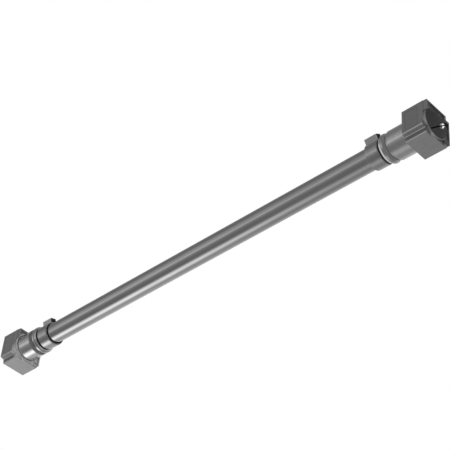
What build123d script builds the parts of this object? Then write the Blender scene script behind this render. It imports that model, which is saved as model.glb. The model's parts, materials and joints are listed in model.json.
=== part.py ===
from build123d import *

# Window security bar: a steel tube with a telescopic head at each end.
#
# Frame: origin at the middle of the tube, on its axis. +X runs along the bar towards
# the right-hand head, +Z is up. Millimetres and degrees. A station is a distance from
# the middle of the tube, and both ends use the same stations. The two heads are the
# same block facing the same way, so only the side that the neck enters differs. An
# angle about the bar is measured from +Y towards +Z.

import os
from math import asin, degrees

os.makedirs("parts", exist_ok=True)

# ---------------------------------------------------------------- driving dimensions
# Tube
tube_length = 602.0
tube_radius = 14.0
tube_wall = 2.0

# Guide bush, pressed into the mouth of the tube
bush_depth = 30.0
flange_radius = 15.0
flange_length = 2.0
spindle_running_fit = 0.05

# Spindle, which carries the head
spindle_radius = 9.0
spindle_tail = 61.0
spindle_chamfer = 1.0

# Stop ring in a groove near the tail of the spindle
head_travel = 20.0
travel_spare = 0.3
stop_ring_radius = 11.4
stop_ring_length = 2.0
stop_ring_slit = 5.0
stop_groove_depth = 1.0

# Rings between the tube and the neck
flare_gap = 0.3
flare_length = 3.2
flare_radius_small = 16.8
flare_radius_large = 18.2
ring_edge = 0.4
wedge_length = 6.0
wedge_radius = 19.0
wedge_nose_radius = 17.4
wedge_nose_length = 3.0

# Neck barrel, pressed into the head block
hub_length = 3.5
hub_radius = 16.0
barrel_length = 39.8
barrel_radius = 19.0
barrel_edge = 0.6

# End bolt, M8 with a hexagon socket, sunk in the end of the barrel
bolt_radius = 4.0
bolt_thread_length = 20.0
bolt_hole_spare = 2.0
bolt_clearance = 0.2
bolt_head_radius = 6.5
bolt_head_length = 5.3
bolt_key_radius = 3.4
bolt_key_depth = 3.0
washer_radius = 8.0
washer_thickness = 1.6
bolt_recess_radius = 8.5
bolt_recess_depth = 7.2
bolt_shoulder = 4.6

# Catch collar, which turns on the tube
collar_length = 18.2
collar_end_gap = 0.3
collar_radius = 16.7
collar_running_fit = 0.05
collar_edge = 0.5
lug_tip_radius = 23.3
lug_root_radius = 15.5
lug_width = 8.4
lug_edge = 0.5
lug_rest_angle = {"right": 124.6, "left": 106.8}
lug_first_angle = 79.6
lug_last_angle = 139.6

# Pad on the +X end of each collar
pad_thickness = 0.8
pad_inset = 0.3

# Collar screw, M5 with a dog point that runs in a slot in the tube
screw_radius = 2.5
screw_sink = 0.8
screw_shoulder_gap = 0.4
screw_key_radius = 1.4
screw_key_depth = 2.5
dog_radius = 2.0
dog_clearance = 0.2
dog_tip_gap = 0.3
slot_depth = 1.0

# Head block
block_length = 30.1
block_half = 21.75
block_edge = 0.5
socket_radius = 19.3
neck_entry = {"right": 14.2, "left": 19.5}

# Rebate along the lower front edge, open at the -X face, with walls that lean outward
front_rebate_y = 15.9
front_rebate_z = 15.2
front_rebate_length = 28.6
front_rebate_corner = 1.2
rebate_lean = 1.0
rebate_edge = 0.7

# Rebate along the upper rear edge
rear_rebate = 15.2
rear_rebate_length = 21.9

# Nose: the last of the block is turned round at the lower front corner
nose_length = 1.5

# Side plate, let into the -Y face
plate_start = 4.3
plate_end = 22.3
plate_bottom = -12.0
plate_top = 17.7
plate_corner = 1.0
plate_thickness = 0.5
plate_gap = 0.28

# End cap: a shallow plate round the socket, with a thin wall along its upper and rear edges
cap_half = 21.25
cap_bore = 19.6
cap_plate_thickness = 1.8
cap_length = 5.1
cap_wall = 1.6
front_ear_foot = 5.6
rear_ear_foot = 15.4
corner_foot = 12.0

# Cap dowels
dowel_radius = 1.5
dowel_offset = 17.4
dowel_in_block = 5.0
dowel_sink = 0.2

# Catch wire, a spring that lies in a groove across the socket's wall and the lock hole
wire_radius = 0.7
wire_distance = 20.1
wire_first_place = 14.8
wire_first_angle = 45.0
wire_last_place = 33.6
wire_last_angle = 30.0
groove_half_width = 0.85
groove_outward = 0.85
groove_inward = 2.0

# Lock pin, down through the corner of the block and across the edge of the neck
lock_pin_radius = 2.0
lock_pin_offset = 17.3
lock_pin_sink = 0.3
lock_pin_foot = 0.5
lock_pin_place = {"right": 7.0, "left": 19.5}

# Lock hole, drilled into the socket through the rear rebate
lock_hole_radius = 3.2
lock_hole_place = 28.6
lock_hole_angle = 33.0

# ---------------------------------------------------------------- worked-out stations
side_sign = {"right": 1, "left": -1}
half_tube = tube_length / 2
tube_bore = tube_radius - tube_wall
bush_inner_end = half_tube - bush_depth
flange_end = half_tube + flange_length
flare_start = flange_end + flare_gap
flare_end = flare_start + flare_length
wedge_end = flare_end + wedge_length
hub_end = wedge_end + hub_length
barrel_end = hub_end + barrel_length
spindle_start = half_tube - spindle_tail
stop_ring_end = bush_inner_end - head_travel - travel_spare
stop_ring_start = stop_ring_end - stop_ring_length
groove_radius = spindle_radius - stop_groove_depth
recess_floor = barrel_end - bolt_recess_depth
spindle_end = recess_floor - bolt_shoulder
washer_end = recess_floor + washer_thickness
bolt_head_end = washer_end + bolt_head_length
bolt_tip = spindle_end - bolt_thread_length
bolt_hole_radius = bolt_radius + bolt_clearance
collar_end = half_tube - collar_end_gap
collar_start = collar_end - collar_length
collar_middle = (collar_start + collar_end) / 2
collar_bore = tube_radius + collar_running_fit
slot_floor = tube_radius - slot_depth
dog_half_angle = degrees(asin((dog_radius + dog_clearance) / slot_floor))
head_length = block_length + cap_length
barrel_inner_face = {"right": barrel_end, "left": -barrel_end}
dowel_length = dowel_in_block + cap_plate_thickness - dowel_sink
block_start = {
    "right": barrel_end - neck_entry["right"],
    "left": neck_entry["left"] - barrel_end - head_length,
}


# ---------------------------------------------------------------- planes and profiles
def across(x):
    """Plane square to the bar at x. Its own axes are +Y and +Z."""
    return Plane(origin=(x, 0, 0), x_dir=(0, 1, 0), z_dir=(1, 0, 0))


def lengthwise(angle):
    """Plane through the bar's axis. Its own axes are +X and the radius at this angle."""
    return Plane(origin=(0, 0, 0), x_dir=(1, 0, 0), z_dir=Vector(0, 0, 1).rotate(Axis.X, angle))


def radial(x, angle, distance):
    """Plane facing outward along the radius at this angle, at x, this far from the axis."""
    radius = Vector(0, 1, 0).rotate(Axis.X, angle)
    return Plane(origin=Vector(x, 0, 0) + radius * distance, x_dir=(1, 0, 0), z_dir=radius)


def half_section(side, corners):
    """Half section of a turned piece, from its (station, radius) corners."""
    with BuildSketch(Plane.XY) as section:
        with BuildLine():
            Polyline(*[(side_sign[side] * station, r) for station, r in corners], close=True)
        make_face()
    return section.sketch


def cap_outline():
    """End view of the cap's plate: round at the lower front, square everywhere else."""
    with BuildSketch(Plane.XY) as outline:
        Circle(cap_half)
        with Locations((-cap_half, front_ear_foot)):
            Rectangle(2 * cap_half, cap_half - front_ear_foot, align=(Align.MIN, Align.MIN))
        with Locations((rear_ear_foot, -cap_half)):
            Rectangle(cap_half - rear_ear_foot, 2 * cap_half, align=(Align.MIN, Align.MIN))
    return outline.sketch


def cap_walls():
    """End view of the cap's walls: down from the upper front corner, along the top, down the rear."""
    with BuildSketch(Plane.XY) as walls:
        with Locations((-cap_half, front_ear_foot)):
            Rectangle(cap_wall, cap_half - front_ear_foot, align=(Align.MIN, Align.MIN))
        with Locations((-cap_half, cap_half - cap_wall)):
            Rectangle(2 * cap_half, cap_wall, align=(Align.MIN, Align.MIN))
        with Locations((cap_half - cap_wall, -cap_half)):
            Rectangle(cap_wall, 2 * cap_half, align=(Align.MIN, Align.MIN))
        with Locations((corner_foot, corner_foot)):
            Rectangle(cap_half - corner_foot, cap_half - corner_foot, align=(Align.MIN, Align.MIN))
    return walls.sketch


def save(piece, name):
    """Label a finished piece and write it to its own file."""
    piece.part.label = name
    export_step(piece.part, f"parts/{name}.step")


# ---------------------------------------------------------------- tube and bushes
def make_bar_tube():
    """Steel tube with a slot under each collar for the point of the collar's screw."""
    with BuildPart() as bar_tube:
        with BuildSketch(across(-half_tube)):
            Circle(tube_radius)
            Circle(tube_bore, mode=Mode.SUBTRACT)
        extrude(amount=tube_length)
        for sign in side_sign.values():
            with BuildSketch(lengthwise(lug_first_angle - dog_half_angle)) as slot:
                with Locations((sign * collar_middle, tube_radius)):
                    Rectangle(2 * (dog_radius + dog_clearance), 2 * slot_depth)
            slot_arc = lug_last_angle - lug_first_angle + 2 * dog_half_angle
            revolve(slot.sketch, axis=Axis.X, revolution_arc=slot_arc, mode=Mode.SUBTRACT)
    save(bar_tube, "bar_tube")


def make_guide_bush(side):
    """Flanged bush in the mouth of the tube, in which the spindle slides."""
    bush_bore = spindle_radius + spindle_running_fit
    with BuildPart() as guide_bush:
        section = half_section(side, [
            (bush_inner_end, bush_bore),
            (bush_inner_end, tube_bore),
            (half_tube, tube_bore),
            (half_tube, flange_radius),
            (flange_end, flange_radius),
            (flange_end, bush_bore),
        ])
        revolve(section, axis=Axis.X)
    save(guide_bush, f"{side}_guide_bush")


# ---------------------------------------------------------------- catch collar
def make_catch_collar(side):
    """Ring that turns on the tube, with a square catch lug along its whole length."""
    outward = side_sign[side]
    x = outward * collar_middle
    first = x - collar_length / 2
    last = x + collar_length / 2 - pad_thickness
    angle = lug_rest_angle[side]
    with BuildPart() as catch_collar:
        with BuildSketch(across(first)):
            with PolarLocations(lug_root_radius, 1, start_angle=angle):
                Rectangle(lug_tip_radius - lug_root_radius, lug_width, align=(Align.MIN, Align.CENTER))
        extrude(amount=last - first)
        tip_edges = catch_collar.faces().sort_by_distance((0, 0, 0))[-1].edges()
        chamfer(tip_edges, lug_edge)
        section = half_section(side, [
            (outward * first, tube_radius),
            (outward * first, collar_radius - collar_edge),
            (outward * (first + collar_edge), collar_radius),
            (outward * last, collar_radius),
            (outward * last, tube_radius),
        ])
        revolve(section, axis=Axis.X)
        with BuildSketch(across(x)):
            Circle(collar_bore)
        extrude(amount=collar_length, both=True, mode=Mode.SUBTRACT)
        with BuildSketch(radial(x, angle, 0)):
            Circle(screw_radius)
        extrude(amount=lug_tip_radius, mode=Mode.SUBTRACT)
    save(catch_collar, f"{side}_catch_collar")


def make_collar_pad(side):
    """Thin black pad on the collar's +X end, in the same outline as the collar."""
    last = side_sign[side] * collar_middle + collar_length / 2
    lug_height = lug_tip_radius - pad_inset - lug_root_radius
    with BuildPart() as collar_pad:
        with BuildSketch(across(last)):
            Circle(collar_radius - pad_inset)
            with PolarLocations(lug_root_radius, 1, start_angle=lug_rest_angle[side]):
                Rectangle(lug_height, lug_width - 2 * pad_inset, align=(Align.MIN, Align.CENTER))
            Circle(collar_bore, mode=Mode.SUBTRACT)
        extrude(amount=-pad_thickness)
    save(collar_pad, f"{side}_collar_pad")


def make_collar_screw(side):
    """Dog-point set screw that keeps the collar in its slot."""
    x = side_sign[side] * collar_middle
    angle = lug_rest_angle[side]
    head = lug_tip_radius - screw_sink
    shoulder = tube_radius + screw_shoulder_gap
    with BuildPart() as collar_screw:
        with BuildSketch(radial(x, angle, shoulder)):
            Circle(screw_radius)
        extrude(amount=head - shoulder)
        with BuildSketch(radial(x, angle, slot_floor + dog_tip_gap)):
            Circle(dog_radius)
        extrude(amount=shoulder - slot_floor - dog_tip_gap)
        with BuildSketch(radial(x, angle, head)):
            RegularPolygon(screw_key_radius, 6)
        extrude(amount=-screw_key_depth, mode=Mode.SUBTRACT)
    save(collar_screw, f"{side}_collar_screw")


# ---------------------------------------------------------------- spindle and neck
def make_spindle(side):
    """Round bar that slides in the bush and carries the neck and the head."""
    with BuildPart() as spindle:
        section = half_section(side, [
            (spindle_start, 0),
            (spindle_start, spindle_radius - spindle_chamfer),
            (spindle_start + spindle_chamfer, spindle_radius),
            (stop_ring_start, spindle_radius),
            (stop_ring_start, groove_radius),
            (stop_ring_end, groove_radius),
            (stop_ring_end, spindle_radius),
            (spindle_end, spindle_radius),
            (spindle_end, bolt_radius),
            (bolt_tip - bolt_hole_spare, bolt_radius),
            (bolt_tip - bolt_hole_spare, 0),
        ])
        revolve(section, axis=Axis.X)
    save(spindle, f"{side}_spindle")


def make_stop_ring(side):
    """Split ring that meets the bush when the head is drawn right out."""
    with BuildPart() as stop_ring:
        section = half_section(side, [
            (stop_ring_start, groove_radius),
            (stop_ring_start, stop_ring_radius),
            (stop_ring_end, stop_ring_radius),
            (stop_ring_end, groove_radius),
        ])
        revolve(section, axis=Axis.X)
        with BuildSketch(across(side_sign[side] * stop_ring_start)):
            Rectangle(stop_ring_slit, stop_ring_radius, align=(Align.CENTER, Align.MIN))
        extrude(amount=stop_ring_length, both=True, mode=Mode.SUBTRACT)
    save(stop_ring, f"{side}_stop_ring")


def make_flare_ring(side):
    """Cone-shaped ring that meets the bush's flange when the head is pushed home."""
    with BuildPart() as flare_ring:
        section = half_section(side, [
            (flare_start, spindle_radius),
            (flare_start, flare_radius_small),
            (flare_end - ring_edge, flare_radius_large),
            (flare_end, flare_radius_large - ring_edge),
            (flare_end, spindle_radius),
        ])
        revolve(section, axis=Axis.X)
    save(flare_ring, f"{side}_flare_ring")


def make_wedge_ring(side):
    """Ring with a broad bevel towards the neck."""
    with BuildPart() as wedge_ring:
        section = half_section(side, [
            (flare_end, spindle_radius),
            (flare_end, wedge_radius - ring_edge),
            (flare_end + ring_edge, wedge_radius),
            (wedge_end - wedge_nose_length, wedge_radius),
            (wedge_end, wedge_nose_radius),
            (wedge_end, spindle_radius),
        ])
        revolve(section, axis=Axis.X)
    save(wedge_ring, f"{side}_wedge_ring")


def make_neck_barrel(side):
    """Barrel between the rings and the head block, notched for the lock pin."""
    pin_x = block_start[side] + lock_pin_place[side]
    with BuildPart() as neck_barrel:
        section = half_section(side, [
            (wedge_end, spindle_radius),
            (wedge_end, hub_radius),
            (hub_end, hub_radius),
            (hub_end, barrel_radius - barrel_edge),
            (hub_end + barrel_edge, barrel_radius),
            (barrel_end - barrel_edge, barrel_radius),
            (barrel_end, barrel_radius - barrel_edge),
            (barrel_end, bolt_recess_radius),
            (recess_floor, bolt_recess_radius),
            (recess_floor, bolt_hole_radius),
            (spindle_end, bolt_hole_radius),
            (spindle_end, spindle_radius),
        ])
        revolve(section, axis=Axis.X)
        with BuildSketch(Plane.XY.offset(lock_pin_foot)):
            with Locations((pin_x, -lock_pin_offset)):
                Circle(lock_pin_radius)
        extrude(amount=block_half, mode=Mode.SUBTRACT)
    save(neck_barrel, f"{side}_neck_barrel")


def make_bolt_washer(side):
    """Plain washer under the head of the end bolt."""
    with BuildPart() as bolt_washer:
        section = half_section(side, [
            (recess_floor, bolt_hole_radius),
            (recess_floor, washer_radius),
            (washer_end, washer_radius),
            (washer_end, bolt_hole_radius),
        ])
        revolve(section, axis=Axis.X)
    save(bolt_washer, f"{side}_bolt_washer")


def make_end_bolt(side):
    """Socket-head bolt that clamps the neck and its rings to the spindle."""
    outward = side_sign[side]
    with BuildPart() as end_bolt:
        section = half_section(side, [
            (bolt_tip, 0),
            (bolt_tip, bolt_radius),
            (washer_end, bolt_radius),
            (washer_end, bolt_head_radius),
            (bolt_head_end, bolt_head_radius),
            (bolt_head_end, 0),
        ])
        revolve(section, axis=Axis.X)
        with BuildSketch(across(outward * bolt_head_end)):
            RegularPolygon(bolt_key_radius, 6)
        extrude(amount=-outward * bolt_key_depth, mode=Mode.SUBTRACT)
    save(end_bolt, f"{side}_end_bolt")


# ---------------------------------------------------------------- head block and cap
def make_front_rebate(side):
    """The space that the front rebate leaves: rounded inside, leaning walls, bevelled lips."""
    outside = block_half + rebate_edge
    upper_lip = front_rebate_z - rebate_lean
    lower_lip = front_rebate_y - rebate_lean
    with BuildPart() as front_rebate:
        with BuildSketch(across(block_start[side])):
            with BuildLine():
                Polyline(
                    (-front_rebate_y, -front_rebate_z),
                    (rebate_edge - block_half, -upper_lip),
                    (-outside, 2 * rebate_edge - upper_lip),
                    (-outside, -outside),
                    (2 * rebate_edge - lower_lip, -outside),
                    (-lower_lip, rebate_edge - block_half),
                    close=True,
                )
            make_face()
        extrude(amount=front_rebate_length)
        along = front_rebate.edges().filter_by(Axis.X)
        fillet(along.sort_by_distance((block_start[side], 0, 0))[0], front_rebate_corner)
    return front_rebate.part


def make_nose(side):
    """The space round the nose, where the block's lower front corner is turned away."""
    end = block_start[side] + block_length
    with BuildPart() as nose:
        with BuildSketch(across(end)):
            with Locations((-2 * block_half, -2 * block_half)):
                Rectangle(2 * block_half, 2 * block_half, align=(Align.MIN, Align.MIN))
            Circle(block_half, mode=Mode.SUBTRACT)
        extrude(amount=-nose_length)
    return nose.part


def wire_line(side):
    """Plane at the catch wire's first end, facing along it, and the wire's length."""
    turn = Vector(0, wire_distance, 0)
    first = Vector(block_start[side] + wire_first_place, 0, 0) + turn.rotate(Axis.X, wire_first_angle)
    last = Vector(block_start[side] + wire_last_place, 0, 0) + turn.rotate(Axis.X, wire_last_angle)
    outward = turn.rotate(Axis.X, (wire_first_angle + wire_last_angle) / 2)
    return Plane(origin=first, x_dir=outward, z_dir=last - first), (last - first).length


def make_wire_groove(side):
    """The space that the groove for the catch wire leaves."""
    first_end, wire_length = wire_line(side)
    with BuildPart() as groove:
        with BuildSketch(first_end.offset(-wire_radius)):
            with Locations(((groove_outward - groove_inward) / 2, 0)):
                Rectangle(groove_outward + groove_inward, 2 * groove_half_width)
        extrude(amount=wire_length + 3 * wire_radius)
    return groove.part


def make_lock_hole(side):
    """The space that the drilled lock hole leaves."""
    with BuildPart() as lock_hole:
        with BuildSketch(radial(block_start[side] + lock_hole_place, lock_hole_angle, 0)):
            Circle(lock_hole_radius)
        extrude(amount=2 * block_half)
    return lock_hole.part


def make_head_block(side):
    """Square block, bored right through: a tight seat for the neck, and the socket."""
    start = block_start[side]
    open_end = {"right": start + block_length, "left": start}[side]
    spaces = [make_front_rebate(side), make_nose(side), make_lock_hole(side), make_wire_groove(side)]
    front_face = Plane(origin=(start, -block_half, 0), x_dir=(1, 0, 0), z_dir=(0, -1, 0))
    with BuildPart() as head_block:
        with BuildSketch(across(start)):
            Rectangle(2 * block_half, 2 * block_half)
        extrude(amount=block_length)
        fillet(head_block.edges().filter_by(Axis.X), block_edge)
        with BuildSketch(across(start + block_length)):
            with Locations((rear_rebate, rear_rebate)):
                Rectangle(block_half, block_half, align=(Align.MIN, Align.MIN))
        extrude(amount=-rear_rebate_length, mode=Mode.SUBTRACT)
        with BuildSketch(across(start)):
            Circle(barrel_radius)
        extrude(amount=block_length, mode=Mode.SUBTRACT)
        with BuildSketch(across(barrel_inner_face[side])):
            Circle(socket_radius)
        extrude(amount=open_end - barrel_inner_face[side], mode=Mode.SUBTRACT)
        add(spaces, mode=Mode.SUBTRACT)
        with BuildSketch(front_face):
            with Locations(((plate_start + plate_end) / 2, (plate_bottom + plate_top) / 2)):
                RectangleRounded(plate_end - plate_start, plate_top - plate_bottom, plate_corner)
        extrude(amount=-plate_thickness, mode=Mode.SUBTRACT)
        with BuildSketch(across(start + block_length)):
            with Locations((-dowel_offset, dowel_offset), (dowel_offset, -dowel_offset)):
                Circle(dowel_radius)
        extrude(amount=-dowel_in_block, mode=Mode.SUBTRACT)
        with BuildSketch(Plane.XY.offset(lock_pin_foot)):
            with Locations((start + lock_pin_place[side], -lock_pin_offset)):
                Circle(lock_pin_radius)
        extrude(amount=block_half, mode=Mode.SUBTRACT)
    save(head_block, f"{side}_head_block")


def make_side_plate(side):
    """Thin cover plate, flush with the front face of the block."""
    start = block_start[side]
    pocket_floor = Plane(origin=(start, plate_thickness - block_half, 0), x_dir=(1, 0, 0), z_dir=(0, -1, 0))
    width = plate_end - plate_start - 2 * plate_gap
    height = plate_top - plate_bottom - 2 * plate_gap
    with BuildPart() as side_plate:
        with BuildSketch(pocket_floor):
            with Locations(((plate_start + plate_end) / 2, (plate_bottom + plate_top) / 2)):
                RectangleRounded(width, height, plate_corner - plate_gap)
        extrude(amount=plate_thickness)
    save(side_plate, f"{side}_side_plate")


def make_end_cap(side):
    """Cap on the block's +X end: a plate with walls, open round the socket."""
    start = block_start[side] + block_length
    spaces = [make_lock_hole(side), make_wire_groove(side)]
    with BuildPart() as end_cap:
        with BuildSketch(across(start)):
            add(cap_outline())
        extrude(amount=cap_plate_thickness)
        with BuildSketch(across(start)):
            add(cap_walls())
        extrude(amount=cap_length)
        with BuildSketch(across(start)):
            Circle(cap_bore)
            with Locations((rear_rebate, rear_rebate)):
                Rectangle(block_half, block_half, align=(Align.MIN, Align.MIN))
        extrude(amount=cap_length, mode=Mode.SUBTRACT)
        add(spaces, mode=Mode.SUBTRACT)
        with BuildSketch(across(start)):
            with Locations((-dowel_offset, dowel_offset), (dowel_offset, -dowel_offset)):
                Circle(dowel_radius)
        extrude(amount=cap_plate_thickness, mode=Mode.SUBTRACT)
    save(end_cap, f"{side}_end_cap")


def make_cap_dowels(side):
    """Two dowels, pressed into the block and through the cap's plate."""
    with BuildPart() as cap_dowels:
        with BuildSketch(across(block_start[side] + block_length - dowel_in_block)):
            with Locations((-dowel_offset, dowel_offset), (dowel_offset, -dowel_offset)):
                Circle(dowel_radius)
        extrude(amount=dowel_length)
    save(cap_dowels, f"{side}_cap_dowels")


def make_catch_wire(side):
    """Straight spring wire that lies in the groove and crosses the lock hole."""
    first_end, wire_length = wire_line(side)
    with BuildPart() as catch_wire:
        with BuildSketch(first_end):
            Circle(wire_radius)
        extrude(amount=wire_length)
    save(catch_wire, f"{side}_catch_wire")


def make_lock_pin(side):
    """Pin down through the block that lies in the notch of the neck barrel."""
    with BuildPart() as lock_pin:
        with BuildSketch(Plane.XY.offset(lock_pin_foot)):
            with Locations((block_start[side] + lock_pin_place[side], -lock_pin_offset)):
                Circle(lock_pin_radius)
        extrude(amount=block_half - lock_pin_sink - lock_pin_foot)
    save(lock_pin, f"{side}_lock_pin")


# ---------------------------------------------------------------- the whole bar
make_bar_tube()
for side in side_sign:
    make_guide_bush(side)
    make_catch_collar(side)
    make_collar_pad(side)
    make_collar_screw(side)
    make_spindle(side)
    make_stop_ring(side)
    make_flare_ring(side)
    make_wedge_ring(side)
    make_neck_barrel(side)
    make_bolt_washer(side)
    make_end_bolt(side)
    make_head_block(side)
    make_side_plate(side)
    make_end_cap(side)
    make_cap_dowels(side)
    make_catch_wire(side)
    make_lock_pin(side)
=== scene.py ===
import json
import math

import bpy
from mathutils import Matrix, Vector


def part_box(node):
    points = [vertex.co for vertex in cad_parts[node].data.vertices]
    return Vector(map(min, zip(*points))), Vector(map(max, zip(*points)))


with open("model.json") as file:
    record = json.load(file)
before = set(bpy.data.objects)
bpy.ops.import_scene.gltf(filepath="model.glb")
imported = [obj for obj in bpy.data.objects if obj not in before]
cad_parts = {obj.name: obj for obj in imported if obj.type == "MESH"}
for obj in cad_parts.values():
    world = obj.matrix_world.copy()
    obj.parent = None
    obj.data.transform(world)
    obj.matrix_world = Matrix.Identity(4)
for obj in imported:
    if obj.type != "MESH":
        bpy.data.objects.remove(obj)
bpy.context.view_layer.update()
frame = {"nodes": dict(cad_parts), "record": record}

# ---------------------------------------------------------------- camera
CAMERA_AZIMUTH = math.radians(46.752)
CAMERA_ELEVATION = math.radians(-40.633)
CAMERA_ROLL = math.radians(5.496)
CAMERA_DISTANCE = 1.7793
CAMERA_LENS = 110.93
# Where the middle of the tube sits in the picture, seen from the camera's own axes
AIM_ALONG_BAR = 0.00266
AIM_RIGHT = 0.03033
AIM_UP = 0.03548


def add_camera():
    """Camera below and in front of the bar, looking up along it."""
    right = Vector((math.cos(CAMERA_AZIMUTH), math.sin(CAMERA_AZIMUTH), 0))
    back = Vector((
        math.sin(CAMERA_AZIMUTH) * math.cos(CAMERA_ELEVATION),
        -math.cos(CAMERA_AZIMUTH) * math.cos(CAMERA_ELEVATION),
        math.sin(CAMERA_ELEVATION),
    ))
    up = back.cross(right)
    roll = Matrix.Rotation(CAMERA_ROLL, 3, back)
    right = roll @ right
    up = roll @ up
    data = bpy.data.cameras.new("camera")
    data.sensor_width = 36
    data.lens = CAMERA_LENS
    camera = bpy.data.objects.new("camera", data)
    bpy.context.scene.collection.objects.link(camera)
    axes = Matrix((right, up, back)).transposed().to_4x4()
    place = Vector((AIM_ALONG_BAR, 0, 0)) + AIM_RIGHT * right + AIM_UP * up + CAMERA_DISTANCE * back
    camera.matrix_world = Matrix.Translation(place) @ axes
    bpy.context.scene.camera = camera


# ---------------------------------------------------------------- light
FLOOR_HEIGHT = -1.3


def link(tree, source, target):
    tree.links.new(source, target)


def math_node(tree, operation, first, second=None):
    """A Math node fed by sockets or plain numbers. Returns its output."""
    node = tree.nodes.new("ShaderNodeMath")
    node.operation = operation
    for socket, value in zip(node.inputs, (first, second)):
        if value is None:
            continue
        if isinstance(value, (int, float)):
            socket.default_value = value
        else:
            link(tree, value, socket)
    return node.outputs[0]


def fade(tree, value, start, end):
    """0 before start, 1 after end, and a smooth change between them."""
    node = tree.nodes.new("ShaderNodeMapRange")
    node.interpolation_type = "SMOOTHSTEP"
    link(tree, value, node.inputs["Value"])
    node.inputs["From Min"].default_value = start
    node.inputs["From Max"].default_value = end
    return node.outputs["Result"]


def mix_colours(tree, fac, first, second):
    """A Mix node between two colours, each a socket or a plain colour."""
    node = tree.nodes.new("ShaderNodeMix")
    node.data_type = "RGBA"
    link(tree, fac, node.inputs[0])
    for socket, value in zip((node.inputs[6], node.inputs[7]), (first, second)):
        if isinstance(value, tuple):
            socket.default_value = value
        else:
            link(tree, value, socket)
    return node.outputs[2]


def mix_values(tree, fac, first, second):
    """Plain number version of mix_colours."""
    change = math_node(tree, "SUBTRACT", second, first)
    return math_node(tree, "ADD", math_node(tree, "MULTIPLY", fac, change), first)


def highest(tree, values):
    """The largest of several values."""
    result = values[0]
    for value in values[1:]:
        result = math_node(tree, "MAXIMUM", result, value)
    return result


# Soft banks round the bar's axis. Each has its direction in degrees from +Y towards +Z, its half width in
# degrees, and what it adds to the room's own light for the left end of the bar and for the right end.
ROOM_LEVEL = 0.20
LIGHT_BANKS = {
    "back": (15, 50, 0.45, 0.35),
    "top": (75, 35, 0.12, 0.12),
    "front": (175, 50, 0.28, 0.20),
    "front_strip": (185, 12, 0.24, 0.20),
    "under": (280, 35, 1.35, 0.22),
    "under_back": (325, 45, 0.30, 0.10),
}
# How the light changes along the bar, by the X part of the direction that it comes from
LEFT_SIDE_REACH = -0.63
RIGHT_SIDE_REACH = -0.48
FAR_END_REACH = 0.30
FAR_END_LEVEL = 0.20
FAR_BANK_REACH = (0.80, 0.92)
FAR_BANK_LEVEL = 1.35
NEAR_BANK_REACH = (-0.77, -0.86)
NEAR_BANK_LEVEL = 0.62


def bank_light(tree, turn, end):
    """Light from all round the bar, for its left end (0) or its right end (1)."""
    total = ROOM_LEVEL
    for direction, half_width, *levels in LIGHT_BANKS.values():
        offset = math_node(tree, "SUBTRACT", turn, direction / 360)
        wrapped = math_node(tree, "FRACT", math_node(tree, "ADD", offset, 1.5))
        apart = math_node(tree, "ABSOLUTE", math_node(tree, "SUBTRACT", wrapped, 0.5))
        outside = fade(tree, apart, 0.0, half_width / 360)
        total = math_node(tree, "ADD", total, mix_values(tree, outside, levels[end], 0.0))
    return total


def add_world():
    """White studio behind the bar, and long soft light banks round it that its metal reflects."""
    world = bpy.data.worlds.new("studio")
    bpy.context.scene.world = world
    world.use_nodes = True
    tree = world.node_tree
    tree.nodes.clear()
    coords = tree.nodes.new("ShaderNodeTexCoord")
    parts = tree.nodes.new("ShaderNodeSeparateXYZ")
    link(tree, coords.outputs["Generated"], parts.inputs[0])
    along = parts.outputs["X"]
    angle = math_node(tree, "ARCTAN2", parts.outputs["Z"], parts.outputs["Y"])
    turn = math_node(tree, "FRACT", math_node(tree, "ADD", math_node(tree, "DIVIDE", angle, math.tau), 1.0))
    ends = fade(tree, along, LEFT_SIDE_REACH, RIGHT_SIDE_REACH)
    banks = mix_values(tree, ends, bank_light(tree, turn, 0), bank_light(tree, turn, 1))
    banks = mix_values(tree, fade(tree, along, 0.0, FAR_END_REACH), banks, FAR_END_LEVEL)
    banks = mix_values(tree, fade(tree, along, *FAR_BANK_REACH), banks, FAR_BANK_LEVEL)
    banks = mix_values(tree, fade(tree, along, *NEAR_BANK_REACH), banks, NEAR_BANK_LEVEL)
    light = tree.nodes.new("ShaderNodeBackground")
    link(tree, banks, light.inputs["Color"])
    white = tree.nodes.new("ShaderNodeBackground")
    white.inputs["Color"].default_value = (1, 1, 1, 1)
    white.inputs["Strength"].default_value = 1.0
    path = tree.nodes.new("ShaderNodeLightPath")
    mix = tree.nodes.new("ShaderNodeMixShader")
    link(tree, path.outputs["Is Camera Ray"], mix.inputs[0])
    link(tree, light.outputs[0], mix.inputs[1])
    link(tree, white.outputs[0], mix.inputs[2])
    output = tree.nodes.new("ShaderNodeOutputWorld")
    link(tree, mix.outputs[0], output.inputs["Surface"])


def add_floor():
    """Plain pale floor, well below the bar and below the camera."""
    bpy.ops.mesh.primitive_plane_add(size=40, location=(0, 0, FLOOR_HEIGHT))
    floor = bpy.context.object
    floor.name = "floor"
    floor.visible_glossy = False
    floor.visible_diffuse = False
    material = bpy.data.materials.new("floor")
    material.use_nodes = True
    shader = material.node_tree.nodes["Principled BSDF"]
    shader.inputs["Base Color"].default_value = (0.85, 0.85, 0.85, 1)
    shader.inputs["Roughness"].default_value = 0.9
    shader.inputs["Emission Color"].default_value = (0.9, 0.9, 0.9, 1)
    shader.inputs["Emission Strength"].default_value = 0.5
    floor.data.materials.append(material)


# ---------------------------------------------------------------- materials
MM = 0.001
# Half widths of the soft edge of a mask, and how much of a painted highlight line is at full strength
SHARP_EDGE = 0.1 * MM
RIM_EDGE = 0.15 * MM
SOLID_SHARE_OF_LINE = 0.6
# The part of a noise's range that goes from light to dark
NOISE_MIDDLE = (0.35, 0.65)
RELIEF_STRENGTH = 0.6
STEEL_BLUE = 1.01
STEEL_TINT = (1.0, 1.0, STEEL_BLUE)

# Places on the bar, worked out from the frame
TUBE_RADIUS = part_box("bar_tube")[1].z
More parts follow.
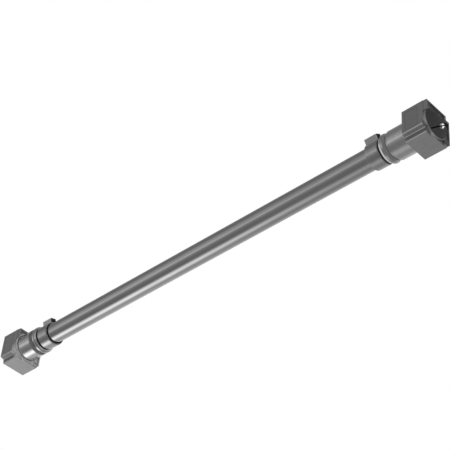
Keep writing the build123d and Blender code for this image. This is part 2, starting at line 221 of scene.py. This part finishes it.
# Both blocks lie at the same Y and Z; only the left one's X is used
BLOCK_LOW, BLOCK_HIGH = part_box("left_head_block")
SOCKET_RADIUS = next(
    mount["dims"]["r_mm"] for mount in frame["record"]["mounts"] if mount["name"] == "right_socket"
) * MM
# The cap's opening is this much wider than the socket behind it
CAP_BORE = SOCKET_RADIUS + 0.3 * MM

# The front rebate, as (y, z) distances from the block's front lower edge
REBATE_START = (0.45 * MM, 0.45 * MM)
REBATE_END = (7.15 * MM, 7.8 * MM)
# Painted highlight lines along the rebate: the same two distances, and how far the line reaches
HIGHLIGHT_LINES = {
    "front_lip": (0.35 * MM, 7.9 * MM, 1.0 * MM),
    "lower_lip": (7.2 * MM, 0.35 * MM, 1.0 * MM),
    "inner_corner": (5.55 * MM, 6.25 * MM, 0.8 * MM),
}


class Finish:
    """A surface whose grey, roughness and fine relief are built up in steps."""

    def __init__(self, name, grey, roughness, metallic=1.0, tint=STEEL_TINT):
        self.material = bpy.data.materials.new(name)
        self.material.use_nodes = True
        self.tree = self.material.node_tree
        self.shader = self.tree.nodes["Principled BSDF"]
        self.shader.inputs["Metallic"].default_value = metallic
        self.coords = self.tree.nodes.new("ShaderNodeTexCoord").outputs["Object"]
        self.parts = self.tree.nodes.new("ShaderNodeSeparateXYZ")
        link(self.tree, self.coords, self.parts.inputs[0])
        self.colour = tuple(grey * part for part in tint) + (1,)
        self.roughness = float(roughness)
        self.metallic = None

    def noise(self, scale, detail=3.0):
        """Noise with its own scale along X, Y and Z, in repeats per metre."""
        mapping = self.tree.nodes.new("ShaderNodeMapping")
        mapping.inputs["Scale"].default_value = scale
        link(self.tree, self.coords, mapping.inputs["Vector"])
        node = self.tree.nodes.new("ShaderNodeTexNoise")
        node.inputs["Scale"].default_value = 1.0
        node.inputs["Detail"].default_value = detail
        link(self.tree, mapping.outputs[0], node.inputs["Vector"])
        return node.outputs["Fac"]

    def vary(self, pattern, grey_change, roughness_change):
        """Darken and roughen where a pattern is high."""
        tree = self.tree
        dark = self.shade(1.0 - grey_change)
        self.colour = mix_colours(tree, fade(tree, pattern, *NOISE_MIDDLE), self.colour, dark)
        rough = math_node(tree, "ADD", self.roughness, roughness_change)
        self.roughness = mix_values(tree, pattern, self.roughness, rough)
        return self

    def shade(self, factor):
        """The present colour times a factor."""
        if isinstance(self.colour, tuple):
            return tuple(part * factor for part in self.colour[:3]) + (1,)
        tree = self.tree
        node = tree.nodes.new("ShaderNodeMix")
        node.data_type = "RGBA"
        node.blend_type = "MULTIPLY"
        node.inputs[0].default_value = 1.0
        link(tree, self.colour, node.inputs[6])
        node.inputs[7].default_value = (factor, factor, factor, 1)
        return node.outputs[2]

    def patch(self, mask, grey, roughness):
        """Give the surface another grey and roughness where a mask is 1."""
        self.colour = mix_colours(self.tree, mask, self.colour, (grey, grey, grey * STEEL_BLUE, 1))
        self.roughness = mix_values(self.tree, mask, self.roughness, roughness)
        return self

    def dull(self, mask, metallic):
        """Make the surface less of a mirror where a mask is 1."""
        self.metallic = mix_values(self.tree, mask, 1.0, metallic)
        return self

    def relief(self, pattern, depth):
        """Fine bumps, with a depth in metres."""
        bump = self.tree.nodes.new("ShaderNodeBump")
        bump.inputs["Strength"].default_value = RELIEF_STRENGTH
        bump.inputs["Distance"].default_value = depth
        link(self.tree, pattern, bump.inputs["Height"])
        link(self.tree, bump.outputs[0], self.shader.inputs["Normal"])
        return self

    def done(self):
        """Sets the shader's sockets, and returns the material."""
        values = {"Base Color": self.colour, "Roughness": self.roughness, "Metallic": self.metallic}
        for socket, value in values.items():
            if value is None:
                continue
            if isinstance(value, (tuple, float)):
                self.shader.inputs[socket].default_value = value
            else:
                link(self.tree, value, self.shader.inputs[socket])
        return self.material

    # Masks
    def within(self, value, start, end, soft):
        """1 where a value is between start and end."""
        rise = fade(self.tree, value, start - soft, start + soft)
        fall = fade(self.tree, value, end - soft, end + soft)
        return math_node(self.tree, "MULTIPLY", rise, math_node(self.tree, "SUBTRACT", 1.0, fall))

    def from_axis(self):
        """Distance from the bar's axis."""
        y = math_node(self.tree, "MULTIPLY", self.parts.outputs["Y"], self.parts.outputs["Y"])
        z = math_node(self.tree, "MULTIPLY", self.parts.outputs["Z"], self.parts.outputs["Z"])
        return math_node(self.tree, "SQRT", math_node(self.tree, "ADD", y, z))

    def near_line(self, y, z, reach):
        """1 close to a line along the bar at this y and z."""
        dy = math_node(self.tree, "SUBTRACT", self.parts.outputs["Y"], y)
        dz = math_node(self.tree, "SUBTRACT", self.parts.outputs["Z"], z)
        dy_square = math_node(self.tree, "MULTIPLY", dy, dy)
        dz_square = math_node(self.tree, "MULTIPLY", dz, dz)
        distance = math_node(self.tree, "SQRT", math_node(self.tree, "ADD", dy_square, dz_square))
        away = fade(self.tree, distance, reach * SOLID_SHARE_OF_LINE, reach)
        return math_node(self.tree, "SUBTRACT", 1.0, away)


def drawn(name, grey, roughness, tint=STEEL_TINT):
    """Drawn tube: fine lines along its length and faint broad marks."""
    finish = Finish(name, grey, roughness, tint=tint)
    lines = finish.noise((6.0, 1500.0, 1500.0))
    marks = finish.noise((25.0, 90.0, 90.0), 4.0)
    return finish.vary(lines, 0.05, 0.05).vary(marks, 0.05, 0.04).relief(lines, 0.000004).done()


def turned(name, grey, roughness, tint=STEEL_TINT):
    """Turned metal: fine rings round the bar."""
    finish = Finish(name, grey, roughness, tint=tint)
    rings = finish.noise((2600.0, 25.0, 25.0))
    marks = finish.noise((160.0, 160.0, 160.0), 4.0)
    return finish.vary(rings, 0.06, 0.06).vary(marks, 0.06, 0.04).relief(rings, 0.000004).done()


# Greys painted into a block: painted shade in the socket and the rebate, painted highlights on the rebate's
# lips and the cap's rim, and painted light on the left block's nose
BORE_SHADE_GREY = 0.32
REBATE_SHADE_GREY = 0.34
LIP_HIGHLIGHT_GREY = 0.95
RIM_HIGHLIGHT_GREY = 0.98
NOSE_LIGHT_GREY = 0.9


def bore_mask(finish):
    """1 inside the socket."""
    outside = fade(finish.tree, finish.from_axis(), CAP_BORE + 0.02 * MM, CAP_BORE + 0.15 * MM)
    return math_node(finish.tree, "SUBTRACT", 1.0, outside)


def rebate_mask(finish):
    """1 in the front rebate."""
    y_start, z_start = REBATE_START
    y_end, z_end = REBATE_END
    y = finish.within(finish.parts.outputs["Y"], BLOCK_LOW.y + y_start, BLOCK_LOW.y + y_end, SHARP_EDGE)
    z = finish.within(finish.parts.outputs["Z"], BLOCK_LOW.z + z_start, BLOCK_LOW.z + z_end, SHARP_EDGE)
    return math_node(finish.tree, "MULTIPLY", y, z)


def lip_highlight_mask(finish):
    """1 along the painted highlight lines of the rebate."""
    masks = []
    for y, z, reach in HIGHLIGHT_LINES.values():
        masks.append(finish.near_line(BLOCK_LOW.y + y, BLOCK_LOW.z + z, reach))
    return highest(finish.tree, masks)


def rim_highlight_mask(finish):
    """1 on the ring round the cap's opening, where a highlight is painted."""
    return finish.within(finish.from_axis(), CAP_BORE + 0.5 * MM, CAP_BORE + 1.8 * MM, RIM_EDGE)


def nose_light_mask(finish):
    """1 on the lower part of the left block near its cap, but not on the face underneath; light is painted
    there.
    """
    below_axis = math_node(finish.tree, "MULTIPLY", finish.parts.outputs["Z"], -1.0)
    lower = fade(finish.tree, below_axis, 0.0, 9 * MM)
    end = fade(finish.tree, finish.parts.outputs["X"], BLOCK_HIGH.x - 9.6 * MM, BLOCK_HIGH.x - 3.6 * MM)
    underside = fade(finish.tree, finish.parts.outputs["Z"], BLOCK_LOW.z + 1.25 * MM, BLOCK_LOW.z + 0.05 * MM)
    not_under = math_node(finish.tree, "SUBTRACT", 1.0, underside)
    return math_node(finish.tree, "MULTIPLY", math_node(finish.tree, "MULTIPLY", lower, end), not_under)


def cast_block(name, grey, roughness, paint_rim_highlight=False, paint_nose_light=False):
    """Block metal: fine grain, painted shade in the bore and the rebate, and painted highlights on the
    rebate's lips.
    """
    finish = Finish(name, grey, roughness)
    grain = finish.noise((1400.0, 1400.0, 1400.0), 4.0)
    marks = finish.noise((110.0, 140.0, 140.0), 4.0)
    finish.vary(grain, 0.07, 0.06).vary(marks, 0.07, 0.05)
    bore = bore_mask(finish)
    lip_highlights = lip_highlight_mask(finish)
    # Painted shade in the socket and in the rebate
    finish.patch(bore, BORE_SHADE_GREY, 0.6)
    finish.patch(rebate_mask(finish), REBATE_SHADE_GREY, 0.5)
    # Painted highlights along the rebate's lips and inner corner
    finish.patch(lip_highlights, LIP_HIGHLIGHT_GREY, 0.5)
    not_mirror = [lip_highlights, bore]
    if paint_rim_highlight:
        # Painted highlight on the ring round the cap's opening
        rim_highlight = rim_highlight_mask(finish)
        finish.patch(rim_highlight, RIM_HIGHLIGHT_GREY, 0.35)
        not_mirror.append(rim_highlight)
    if paint_nose_light:
        # Painted light on the left block's nose
        nose_light = nose_light_mask(finish)
        finish.patch(nose_light, NOSE_LIGHT_GREY, 0.35)
        not_mirror.append(nose_light)
    finish.dull(highest(finish.tree, not_mirror), 0.0)
    return finish.relief(grain, 0.000003).done()


def rubber(name):
    """Black rubber, with a pale grey band round its ring."""
    finish = Finish(name, 0.012, 0.55, metallic=0.0)
    grain = finish.noise((1500.0, 1500.0, 1500.0))
    finish.vary(grain, 0.3, 0.1)
    band = finish.within(finish.from_axis(), TUBE_RADIUS + 1.5 * MM, TUBE_RADIUS + 2.9 * MM, SHARP_EDGE)
    return finish.patch(band, 0.5, 0.4).relief(grain, 0.00002).done()


# The material of each kind of piece; the numbers are its grey and its roughness
TONES = {
    "bar_tube": drawn("drawn_tube", 0.60, 0.13),
    "guide_bush": turned("oiled_bronze", 0.10, 0.35, (1.0, 0.82, 0.55)),
    "catch_collar": turned("collar_steel", 0.60, 0.16),
    "collar_pad": rubber("black_rubber"),
    "collar_screw": turned("dark_screw", 0.22, 0.3),
    "spindle": turned("ground_steel", 0.68, 0.08),
    "stop_ring": turned("spring_steel", 0.25, 0.3),
    "flare_ring": turned("flare_steel", 0.88, 0.14),
    "wedge_ring": turned("wedge_steel", 0.70, 0.18),
    "neck_barrel": turned("neck_steel", 0.76, 0.12),
    "bolt_washer": turned("zinc_washer", 0.5, 0.25),
    "end_bolt": turned("black_bolt", 0.15, 0.35),
    "head_block": cast_block("block_metal", 0.60, 0.26),
    "side_plate": cast_block("plate_metal", 0.56, 0.28),
    "end_cap": cast_block("cap_metal", 0.60, 0.26),
    "cap_dowels": turned("dowel_steel", 0.5, 0.2),
    "catch_wire": turned("blued_wire", 0.04, 0.35),
    "lock_pin": turned("pin_steel", 0.5, 0.2),
}
# The left head has painted light near its cap: a painted highlight on the cap's rim and painted light on the
# block's nose
PAINTED_LIGHT_PARTS = {
    "left_end_cap": cast_block("cap_metal_painted_light", 0.60, 0.26, paint_rim_highlight=True, paint_nose_light=True),
    "left_head_block": cast_block("block_metal_painted_light", 0.60, 0.26, paint_nose_light=True),
}


def add_materials():
    """Gives every CAD node the material of its kind."""
    for name, node in frame["nodes"].items():
        material = PAINTED_LIGHT_PARTS.get(name) or TONES[name.removeprefix("left_").removeprefix("right_")]
        for slot in node.material_slots:
            slot.material = material


add_camera()
add_world()
add_floor()
add_materials()

bpy.context.scene.view_settings.view_transform = "Standard"
